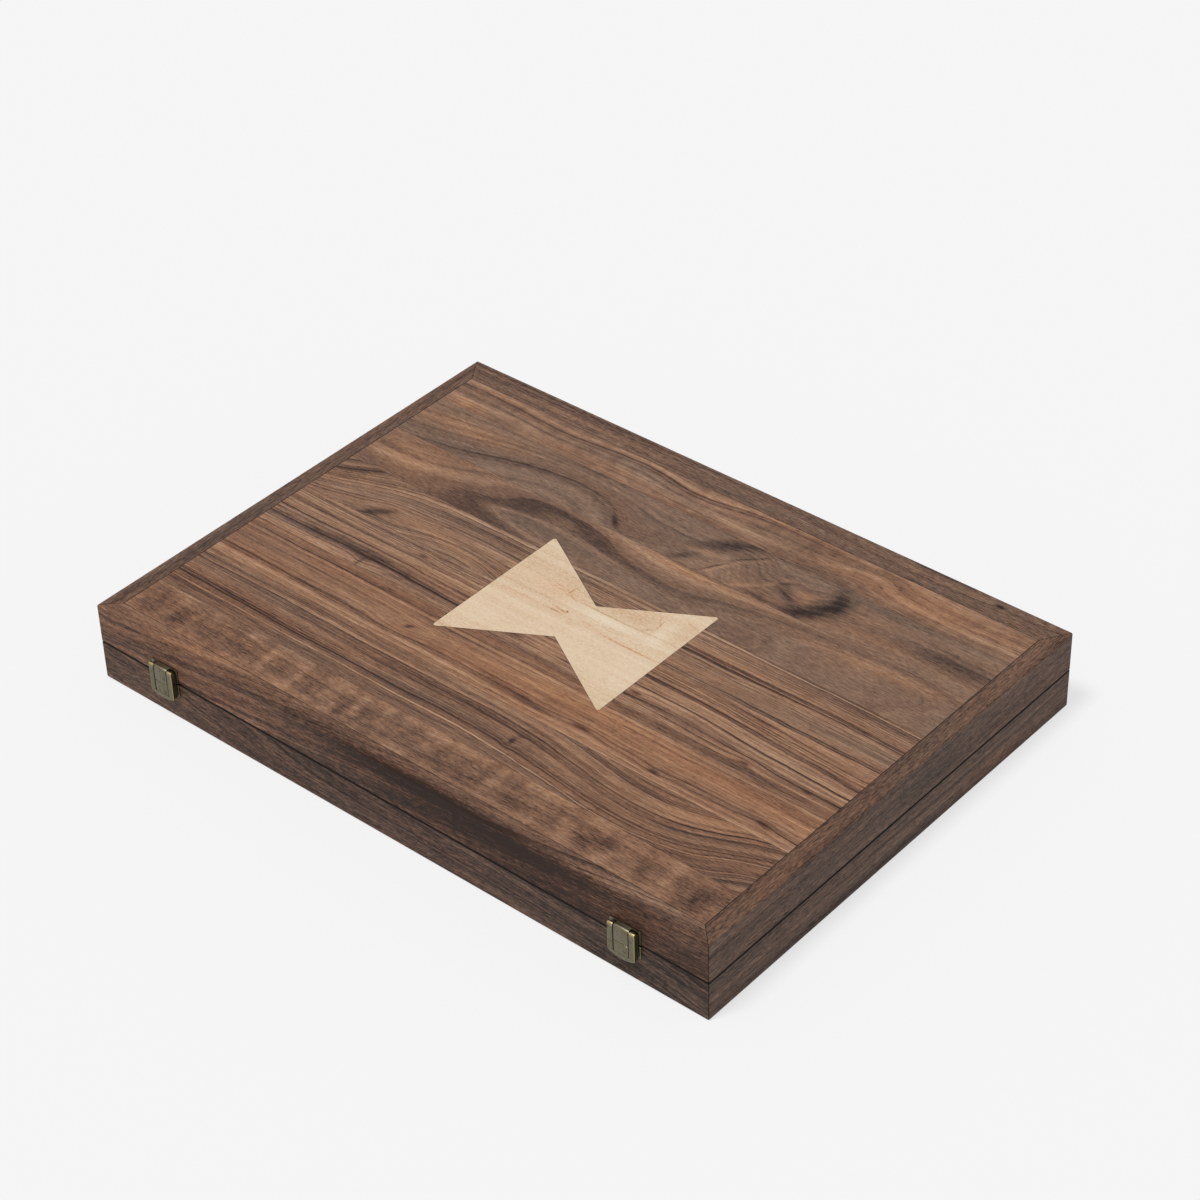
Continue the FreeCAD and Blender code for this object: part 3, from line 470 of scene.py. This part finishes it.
# The lid's panel: eight more staves, each sawn from another board, so each has its own figure, from the
# straight lines of quartered wood to the ovals, swirls and small knots of wood cut near a branch.
LID_STAVES = (
    # At the back: quiet wood with a rippled figure and one long dark vein.
    dict(tone=0.6, warmth=0.25, rings=5.0, band=0.55, streak=0.8, line=0.2, vein=0.08, curl=0.4,
         curl_step=9.0,
         bends=(((-144, 147), (32, 14), 0, 3.5), ((-70, 147), (30, 14), 0, -3),
                ((-25, 147), (30, 14), 0, 4), ((60, 150), (60, 10), 0, -5),
                ((112, 140), (38, 12), 35, -7), ((190, 138), (40, 12), 0, 3)),
         veins=(((-80, 148.5), (130, 0.6), -0.5), ((-80, 152), (170, 2.0), 0.18),
                ((-60, 145.5), (120, 0.5), -0.25)),
         patches=(((-210, 130), (14, 4), 0, 0.12, 0.5), ((70, 140), (14, 20), -30, -0.14, 0.0),
                  ((165, 140), (70, 14), 0, 0.02, 0.4), ((-195, 146), (40, 4), 0, -0.12, 0.0),
                  ((-110, 132), (24, 5), 0, -0.1, 0.0), ((10, 136), (24, 10), 0, 0.08, 0.1))),
    # Cut through a crotch: the grain sweeps round the place where a branch left the trunk.
    dict(tone=0.565, warmth=0.1, rings=6.5, slope=(0.0, 0.75, 0.4), band=0.7, streak=0.45, line=0.18,
         vein=0.05, fibre=1.35, fibre_length=6.0, pores=0.15,
         bends=(((-96, 98), (62, 26), 4, -14), ((-36, 84), (26, 20), 0, 9), ((-235, 90), (60, 30), 0, 8),
                ((36, 100), (17, 26), -40, -12), ((92, 101), (16, 12), 0, 9),
                ((62, 108), (12, 22), -42, 5), ((165, 96), (50, 14), 0, -4)),
         veins=(((-130, 68), (80, 0.8), -0.36), ((-150, 66), (100, 3.0), -0.17)),
         patches=(((-190, 108), (50, 8), 0, 0.08, 0.35), ((-90, 124), (26, 2.5), 0, -0.25, 0.0),
                  ((-48, 90), (8, 2.5), -40, -0.3, 0.0), ((8, 88), (10, 3), 50, -0.3, 0.0),
                  ((18, 100), (10, 2.5), 10, 0.22, 0.3), ((25, 114), (19, 5), 32, -0.4, -0.1),
                  ((36, 122), (9, 2.2), 18, -0.3, 0.0), ((60, 124), (40, 1.6), 0, -0.18, 0.0),
                  ((32.5, 90), (9, 1.6), 58, 0.16, 0.1), ((30, 91), (9, 0.8), 58, -0.32, 0.0),
                  ((47, 110), (13, 1.6), 44, 0.16, 0.1), ((45, 112), (14, 0.8), 44, -0.32, 0.0),
                  ((57, 88.5), (12, 2.0), 36, 0.17, 0.2), ((71, 101.5), (9, 1.8), 52, 0.16, 0.1),
                  ((86, 112), (12, 2.2), 22, 0.16, 0.1), ((78, 106), (8, 1.4), 30, -0.35, 0.0),
                  ((72, 84), (15, 2.2), 0, -0.32, 0.0), ((83, 97), (10, 3), -32, -0.36, 0.0),
                  ((94, 102), (7, 6), 0, 0.16, 0.45), ((111, 116), (10, 5), -55, -0.34, -0.1),
                  ((115, 107), (7, 10), 0, -0.32, -0.1), ((107, 95), (14, 7), 52, -0.42, -0.1),
                  ((96, 86), (11, 4), 20, -0.38, 0.0), ((150, 120), (30, 4), 0, -0.14, -0.1),
                  ((140, 108), (14, 6), 20, 0.06, 0.1), ((205, 103), (28, 7), 0, -0.26, -0.1))),
    # Sawn flat: a long oval eye between dark lines, and paler wood past it.
    dict(tone=0.6, warmth=0.14, rings=6.0, slope=(0.0, 0.55, 0.4), band=0.6, streak=0.55, line=0.12,
         vein=0.04, fibre=1.35, fibre_length=6.0, pores=0.15,
         bends=(((-80, 76), (80, 20), -2, -20.5), ((147, 68), (118, 24), 4, -26),
                ((-75, 52), (82, 9), -2, -9.5), ((33, 62), (20, 12), 0, 2), ((93, 52), (54, 16), 19, 6)),
         veins=(((-70, 19.8), (95, 1.1), -0.26), ((-60, 21.4), (105, 1.1), -0.32),
                ((-40, 22.5), (130, 0.5), -0.14), ((-95, 17.5), (45, 0.4), 0.16),
                ((110, 22), (70, 0.6), -0.16), ((-170, 33), (60, 0.6), -0.15)),
         patches=(((-216, 64), (16, 2.5), 0, -0.35, 0.0), ((-200, 60), (36, 20), 0, 0.1, 0.45),
                  ((-150, 76), (30, 2.5), 14, -0.12, 0.0), ((26, 77), (44, 3.5), 0, 0.16, 0.5),
                  ((170, 72), (60, 5), 3, 0.08, 0.4), ((-80, 54), (34, 8), 4, 0.0, -0.2))),
    # Close straight lines, with a swirl and a knot near the left end.
    dict(tone=0.65, warmth=0.28, rings=2.3, band=0.8, streak=1.0, line=0.9, vein=0.35,
         bends=(((-250, 20), (62, 40), 0, 28), ((-102, -8), (40, 19), 0, -22),
                ((-172, 5), (16, 10), 40, -6)),
         veins=(((150, 21), (120, 1.2), -0.25), ((200, 34), (60, 1.5), -0.25)),
         patches=(((-172, 4), (12, 3.2), 38, -0.46, -0.3), ((-110, 6), (40, 4), -8, 0.1, 0.3),
                  ((-215, 24), (16, 6), 30, -0.12, 0.0))),
    # Close straight lines, a broad dark band at the left and pin knots.
    dict(tone=0.69, warmth=0.38, rings=2.4, band=0.9, streak=1.15, line=0.7, vein=0.45,
         bends=(((-165, -33), (55, 9), 0, -2), ((235, -22), (95, 30), 0, 7), ((-117, -12), (8, 5), 0, -2),
                ((-145, -41), (8, 5), 0, 2), ((161, -42), (12, 5), 0, -2.5), ((71, -33), (10, 4), 0, 2)),
         veins=(((150, -26), (150, 0.8), -0.35), ((-160, -32), (75, 3.0), -0.2),
                ((-150, -36), (85, 3.0), -0.2), ((2, -36.6), (26, 1.0), 0.4)),
         patches=(((-165, -34), (62, 6.5), 1, -0.1, -0.1), ((-84, -36), (2, 1.2), 0, -0.3, 0.0),
                  ((-117, -11.5), (4, 1.2), 0, -0.4, 0.0), ((-145, -42), (1.5, 3), 0, -0.4, 0.0),
                  ((72, -33.5), (4, 1.5), 0, -0.45, 0.0), ((161, -43.5), (4.5, 1.4), 0, -0.45, 0.0),
                  ((205, -42), (3, 1.2), 0, -0.4, 0.0), ((-190, -43), (40, 2), 0, 0.12, 0.2),
                  ((2, -37.5), (22, 3.5), 0, 0.42, 0.3), ((5, -43.5), (22, 1.5), 0, -0.2, 0.0))),
    # The most golden one, with pin knots.
    dict(tone=0.65, warmth=0.5, rings=4.0, band=0.6, streak=0.8, line=0.42, vein=0.28,
         bends=(((-78, -71), (20, 7), 12, 5), ((70, -78), (16, 6), 0, -2.5), ((126, -82), (12, 5), 0, 2),
                ((203, -79), (14, 6), 0, -2.5)),
         veins=(((-150, -51), (140, 1.8), -0.28), ((120, -49), (160, 2.0), -0.3),
                ((-150, -64), (80, 0.8), -0.25)),
         patches=(((-76.5, -70.3), (3, 1.6), 30, -0.5, 0.0), ((69, -78), (6, 2.2), 0, -0.35, 0.0),
                  ((126, -82), (4, 1.6), 0, -0.4, 0.0), ((203, -79), (5, 2.4), 0, -0.4, 0.0),
                  ((20, -78), (24, 2.5), -6, -0.25, 0.0), ((110, -66), (120, 14), 0, 0.02, 0.35))),
    # Dark close lines that swing out at the right end.
    dict(tone=0.51, warmth=0.38, rings=2.2, band=0.75, streak=1.0, line=0.7, vein=0.35,
         bends=(((140, -100), (70, 50), 0, 14), ((240, -110), (50, 40), 0, -22),
                ((45, -113), (5, 7), 0, 2)),
         veins=(((-130, -116.5), (130, 0.8), -0.4), ((-130, -118.5), (110, 0.6), -0.35),
                ((-20, -121.5), (140, 0.7), 0.25)),
         patches=(((45, -112.5), (2, 3), 0, -0.5, 0.0), ((190, -98), (50, 10), 12, 0.08, 0.2))),
    # At the front: the fibres roll, so that light and dark stand across it.
    dict(tone=0.54, warmth=0.42, rings=7.0, band=0.5, streak=0.6, line=0.12, vein=0.06, curl=0.75,
         curl_step=13.0, fibre=1.5, fibre_length=6.0,
         bends=(((-150, -138), (20, 8), 20, -3), ((-60, -150), (40, 12), 0, 3),
                ((100, -150), (50, 12), 0, -4)),
         patches=(((-122, -145), (3, 12), 10, 0.2, 0.0), ((-94, -146), (3, 12), 0, 0.15, 0.0),
                  ((-47, -146), (3, 12), 5, 0.2, 0.0), ((-29, -140), (4, 10), 0, 0.2, 0.0),
                  ((-54, -146), (3, 12), 5, -0.15, 0.0), ((-39, -146), (3, 12), 0, -0.15, 0.0),
                  ((143, -147), (10, 6), 30, -0.28, 0.0), ((175, -150), (5, 6), 0, -0.2, 0.0),
                  ((-205, -146), (24, 10), 0, -0.06, 0.0), ((215, -146), (14, 14), 0, -0.15, 0.0))),
)
for i, look in enumerate(LID_STAVES, start=1):
    finish_in(f"lid_stave_{i}", wood(f"lid_stave_{i}_walnut", i, joints=stave_joints(i), **look))


# The butterfly key: one piece of pale hard maple, let 3 mm into the panel across the middle joint, glued
# and planed flush. It has a pin knot, pinkish streaks and the oval of a ring cut at a low angle.
PALE_MAPLE = ((170, 134, 102), (202, 172, 140), (218, 193, 163), (225, 204, 177), (233, 216, 192))
PINK_MAPLE = ((158, 100, 62), (204, 162, 126), (220, 187, 155), (227, 199, 170), (233, 212, 187))
KEY_LOW, KEY_HIGH = corners("butterfly_key")
KEY_MIDDLE = (KEY_LOW[1] + KEY_HIGH[1]) / 2
KEY_HALF_LENGTH = KEY_HIGH[0]
KEY_HALF_WAIST = 19.3
KEY_HALF_END = 57.6
KEY_LINE = 0.3
KEY_FLARE = KEY_HALF_END - KEY_HALF_WAIST
KEY_SIDE = math.hypot(KEY_HALF_LENGTH, KEY_FLARE)
KEY_EDGES = [(TO_END, KEY_HALF_LENGTH, KEY_LINE)]
for way in (1.0, -1.0):
    facing = (-KEY_FLARE / KEY_SIDE, way * KEY_HALF_LENGTH / KEY_SIDE, 0.0)
    KEY_EDGES.append((facing, facing[1] * (KEY_MIDDLE + way * KEY_HALF_WAIST), KEY_LINE))
finish_in("butterfly_key", wood(
    "key_maple", 41, colours=(PALE_MAPLE, PINK_MAPLE), tone=0.57, warmth=0.2, rings=14.0, band=0.4,
    streak=0.6, line=0.1, vein=0.14, curl=0.2, pores=0.1, fibre=1.6, fibre_length=2.2, joints=KEY_EDGES,
    bends=(((12, 24), (36, 11), 0, 9),),
    patches=(((-9.5, 0.5), (0.9, 0.6), -25, -1.2, 1.0), ((-14.5, -0.5), (6, 1.0), -8, -0.4, 0.8),
             ((-16.5, -3.3), (6, 0.8), 0, -0.45, 0.7), ((9, -1), (6, 1.4), 0, -0.15, 0.7),
             ((43, -3.6), (26, 0.8), 0, -0.35, 1.0), ((-42, -3.6), (18, 0.8), 0, -0.22, 0.6),
             ((-30, 14), (16, 9), 0, -0.06, 0.55), ((-35, -19), (36, 10), 0, -0.02, 0.2),
             ((16, 8), (28, 4.5), 2, 0.3, -0.4), ((49, 18), (6, 13), 0, 0.28, -0.4),
             ((14, 23), (25, 8), 0, -0.13, 0.2), ((12, 13), (26, 0.6), 0, -0.35, 0.1),
             ((39.5, 17), (5, 0.7), 38, -0.28, 0.1), ((43, 23), (0.7, 5), 0, -0.28, 0.1),
             ((39.5, 29.5), (5, 0.7), -50, -0.26, 0.1), ((-20.5, 18.5), (0.7, 3), 0, -0.32, 0.2),
             ((-17.5, 14.5), (4, 0.7), -25, -0.2, 0.1), ((47, 5), (17, 0.7), 14, 0.25, -0.3),
             ((58, 37), (8, 0.7), -20, -0.2, 0.2))))


# The lid's frame: four walnut rails like the base's. The front one is sawn across the heart of its board,
# reddish at one end and nearly black in the middle.
rail("lid", "front", 21, tone=0.422, warmth=0.27, slope=(-0.09, 0.7, 0.8), band=0.4, streak=0.9, line=0.4,
     patches=(((0, -166, 57), (EVERYWHERE, 7, 4), 0, 0.06, 0.0),
              ((45, -179, 54), (80, 7, 9), 0, -0.9, 0.4), ((110, -178, 38), (170, 8, 22), 0, -0.4, 0.5),
              ((-170, -176, 42), (80, 20, 20), 0, 0.03, 0.35)))
rail("lid", "back", 22, tone=0.47, warmth=0.15, slope=(0.0, 0.8, 0.5), line=0.45,
     bends=(((150, 172), (80, 12), 0, 9), ((191.5, 168), (9, 4), 0, -3)),
     patches=(((191.5, 167.8), (3, 1.6), 0, -0.5, 0.0),))
rail("lid", "left", 23, tone=0.455, warmth=0.06,
     patches=(((0, -234, 58), (EVERYWHERE, EVERYWHERE, 3), 0, 0.0, 0.2),))
rail("lid", "right", 24, tone=0.42, warmth=0.08,
     patches=(((0, 234, 58), (EVERYWHERE, EVERYWHERE, 3), 0, -0.08, 0.35),
              ((-28, 240, 42), (30, 9, 9), 0, -0.07, -0.2), ((110, 240, 40), (40, 9, 9), 0, -0.04, 0.1)))


# The playing fields: a walnut board in each half, with twelve long points let in, maple and ebonised wood
# by turns, all planed flush.
EBONISED = ((14, 12, 11), (24, 20, 18), (34, 29, 26), (44, 38, 33), (56, 48, 42))
for i, half in enumerate(("base", "lid")):
    board = wood(f"{half}_field_walnut", 51 + i, tone=0.56, warmth=0.3, along="Y", rings=4.5, band=0.8)
    finish_in(f"{half}_field_board", board)
    light = wood(f"{half}_points_maple", 53 + i, colours=(PALE_MAPLE, PINK_MAPLE), along="Y", warmth=0.2,
                 rings=6.0, band=0.5, streak=0.6, line=0.1, vein=0.05, pores=0.05)
    finish_in(f"{half}_light_points", light)
    dark = wood(f"{half}_points_ebonised", 55 + i, colours=(EBONISED, EBONISED), along="Y")
    finish_in(f"{half}_dark_points", dark)


# The hinges: two brass butts let into the back rails, a leaf on each half and a pin through the knuckles,
# with slotted countersunk screws. The brass is aged: olive grey and bright where rubbed, with painted shade
# darkening its corners and slots.
# The sizes of tarnish and specks are millimetres. The reach of the painted corner shade and the depth of
# relief are metres.
TARNISH = (5.0, 5.0, 5.0)
SPECK = (0.7, 0.7, 0.7)
SPECK_SHARE = 0.3
PATINA = (62, 52, 36)
PATINA_SHARE = 0.7
CORNER_SHADE = (16, 11, 7)
CORNER_REACH = 0.002
CORNER_OPENS = (0.2, 0.8)
PATINA_ROUGHNESS = 0.25
SPECK_ROUGHNESS = 0.15
BRASS_RELIEF = 0.3
BRASS_DEPTH = 0.0001


def brass(name, seed, dull, bright, patina_grows, roughness):
    """Aged brass, with a brown patina in clouds over the metal and painted shade darkening its corners."""
    material, tree, shader, case = new_finish(name)
    elsewhere = moved_off(tree, case, seed, (71.0, 43.0, 29.0))
    tarnish = clouds(tree, elsewhere, TARNISH, 5.0, 0.65).outputs["Fac"]
    specks = clouds(tree, elsewhere, SPECK).outputs["Fac"]
    cover = sums(tree, "SUBTRACT", tarnish, 0.5 * SPECK_SHARE)
    cover = step(tree, sums(tree, "MULTIPLY_ADD", specks, SPECK_SHARE, cover), *patina_grows)
    colour = mixed(tree, tarnish, srgb(*dull), srgb(*bright))
    colour = mixed(tree, sums(tree, "MULTIPLY", cover, PATINA_SHARE), colour, srgb(*PATINA))
    # Painted shade: the colour darkens where nearby surfaces close in, in corners, slots and under parts.
    corner = tree.nodes.new("ShaderNodeAmbientOcclusion")
    corner.inputs["Distance"].default_value = CORNER_REACH
    colour = mixed(tree, step(tree, corner.outputs["AO"], *CORNER_OPENS), srgb(*CORNER_SHADE), colour)
    feed(tree, shader.inputs["Base Color"], colour)
    shader.inputs["Metallic"].default_value = 1.0
    rough = sums(tree, "MULTIPLY_ADD", specks, SPECK_ROUGHNESS, roughness - 0.5 * SPECK_ROUGHNESS)
    feed(tree, shader.inputs["Roughness"], sums(tree, "MULTIPLY_ADD", cover, PATINA_ROUGHNESS, rough))
    relief(tree, shader, specks, BRASS_RELIEF, BRASS_DEPTH)
    return material


aged = brass("aged_brass", 3, (92, 86, 68), (130, 123, 101), (0.5, 0.75), 0.4)
rubbed = brass("rubbed_brass", 4, (142, 130, 92), (186, 170, 120), (0.62, 0.85), 0.32)
pin_brass = brass("pin_brass", 5, (178, 152, 92), (214, 190, 128), (0.62, 0.85), 0.26)
MEMBERS = frame["record"]["behaviour"]["bodies"]
BODIES = {name: body for body, members in MEMBERS.items() for name in members}
SAME_POINT = 0.000001
SAME_FACE = math.radians(2.0)
SHARP = math.radians(40.0)


def rub_down(node, edge, metal=aged, square=0.0):
    """A copy of an imported brass piece that stands for it, its edges rubbed round and bright.

    Faces that look less than square along every axis are rounded places, and are rubbed bright as well.
    """
    bpy.ops.object.select_all(action="DESELECT")
    nodes[node].select_set(True)
    bpy.context.view_layer.objects.active = nodes[node]
    bpy.ops.object.duplicate()
    piece = bpy.context.object
    del piece["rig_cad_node"]
    piece.name = f"{node}_rubbed"
    bpy.ops.object.mode_set(mode="EDIT")
    bpy.ops.mesh.select_all(action="SELECT")
    bpy.ops.mesh.remove_doubles(threshold=SAME_POINT)
    bpy.ops.mesh.dissolve_limited(angle_limit=SAME_FACE)
    bpy.ops.object.mode_set(mode="OBJECT")
    piece.data.materials.clear()
    piece.data.materials.append(metal)
    piece.data.materials.append(rubbed)
    bevel = piece.modifiers.new("rubbed edges", "BEVEL")
    bevel.width = edge
    bevel.segments = 2
    bevel.limit_method = "ANGLE"
    bevel.angle_limit = SHARP
    bevel.material = 1
    bpy.ops.object.modifier_apply(modifier=bevel.name)
    for face in piece.data.polygons:
        if max(abs(part) for part in face.normal) < square:
            face.material_index = 1
    bpy.ops.object.shade_smooth_by_angle(angle=SHARP)
    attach(piece, BODIES[node])
    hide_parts(node)


# The widths of the rubbed edges, in metres, here and on the latches.
HINGE_WEAR = 0.0002
HINGE_SCREW_WEAR = 0.0001
for side in ("left", "right"):
    rub_down(f"{side}_hinge_base_leaf", HINGE_WEAR)
    rub_down(f"{side}_hinge_lid_leaf", HINGE_WEAR)
    rub_down(f"{side}_hinge_pin", HINGE_WEAR, pin_brass)
for half in ("base", "lid"):
    rub_down(f"hinge_{half}_screws", HINGE_SCREW_WEAR)


# The latches: a stamped lever that swings on a pin in a bracket on the lid, and a spring tongue in it that
# snaps over a catch on the base. All are aged brass, held with small slotted screws.
BRACKET_WEAR = 0.0002
CATCH_WEAR = 0.00012
LEVER_WEAR = 0.00025
LEVER_SQUARE = 0.97
SPRING_WEAR = 0.00008
LATCH_PIN_WEAR = 0.00012
LATCH_SCREW_WEAR = 0.00008
for side in ("left", "right"):
    rub_down(f"{side}_latch_bracket", BRACKET_WEAR)
    rub_down(f"{side}_latch_catch", CATCH_WEAR)
    rub_down(f"{side}_latch_lever", LEVER_WEAR, square=LEVER_SQUARE)
    rub_down(f"{side}_latch_spring", SPRING_WEAR)
    rub_down(f"{side}_latch_pin", LATCH_PIN_WEAR, pin_brass)
for half in ("base", "lid"):
    rub_down(f"latch_{half}_screws", LATCH_SCREW_WEAR)


# The studio: a plain floor of pale paper that runs out of the picture, an even white sky and a broad lamp.
# What the lens, a polished face or clear glass sees of floor and sky is paler than the light they give.
PAPER = srgb(246, 246, 246)
FLOOR_SIZE = 8.0
FLOOR_DROP = 0.0002
FLOOR_SEEN_PLAIN = 0.74
SKY_LIGHT = 0.32
SKY_SEEN_MORE = 0.6
LAMP_TURN = (math.radians(20.0), math.radians(-6.0), 0.0)
LAMP_STRENGTH = 0.7 * math.pi
LAMP_SPREAD = math.radians(15.0)
CAMERA_PLACE = (1.02246, -1.14360, 1.23830)
CAMERA_TURN = (52.686, 1.314, 40.318)
CAMERA_LENS = 96.09
CAMERA_SENSOR = 36.0


def seen(tree):
    """1 for the rays that show a thing, to the lens or in gloss or glass, and 0 for those it lights by."""
    rays = tree.nodes.new("ShaderNodeLightPath")
    shown = sums(tree, "MAXIMUM", rays.outputs["Is Camera Ray"], rays.outputs["Is Glossy Ray"])
    return sums(tree, "MAXIMUM", shown, rays.outputs["Is Transmission Ray"])


bpy.ops.object.select_all(action="DESELECT")
bpy.ops.mesh.primitive_plane_add(size=FLOOR_SIZE, location=(0.0, 0.0, -FLOOR_DROP))
floor = bpy.context.object
floor.name = "floor"
paper = bpy.data.materials.new("floor_paper")
paper.use_nodes = True
tree = paper.node_tree
sheet = tree.nodes["Principled BSDF"]
sheet.inputs["Base Color"].default_value = PAPER
sheet.inputs["Roughness"].default_value = 1.0
sheet.inputs["Specular IOR Level"].default_value = 0.0
plain = tree.nodes.new("ShaderNodeEmission")
plain.inputs["Color"].default_value = PAPER
both = tree.nodes.new("ShaderNodeMixShader")
feed(tree, both.inputs["Fac"], sums(tree, "MULTIPLY", seen(tree), FLOOR_SEEN_PLAIN))
tree.links.new(sheet.outputs["BSDF"], both.inputs[1])
tree.links.new(plain.outputs["Emission"], both.inputs[2])
tree.links.new(both.outputs["Shader"], tree.nodes["Material Output"].inputs["Surface"])
floor.data.materials.append(paper)

world = bpy.data.worlds.new("studio")
bpy.context.scene.world = world
world.use_nodes = True
tree = world.node_tree
sky = tree.nodes["Background"]
sky.inputs["Color"].default_value = (1.0, 1.0, 1.0, 1.0)
feed(tree, sky.inputs["Strength"], sums(tree, "MULTIPLY_ADD", seen(tree), SKY_SEEN_MORE, SKY_LIGHT))

bpy.ops.object.light_add(type="SUN", rotation=LAMP_TURN)
lamp = bpy.context.object
lamp.data.energy = LAMP_STRENGTH
lamp.data.angle = LAMP_SPREAD

bpy.ops.object.camera_add(location=CAMERA_PLACE)
camera = bpy.context.object
camera.rotation_euler = [math.radians(turn) for turn in CAMERA_TURN]
camera.data.lens = CAMERA_LENS
camera.data.sensor_width = CAMERA_SENSOR
bpy.context.scene.camera = camera
bpy.context.scene.view_settings.view_transform = "Standard"
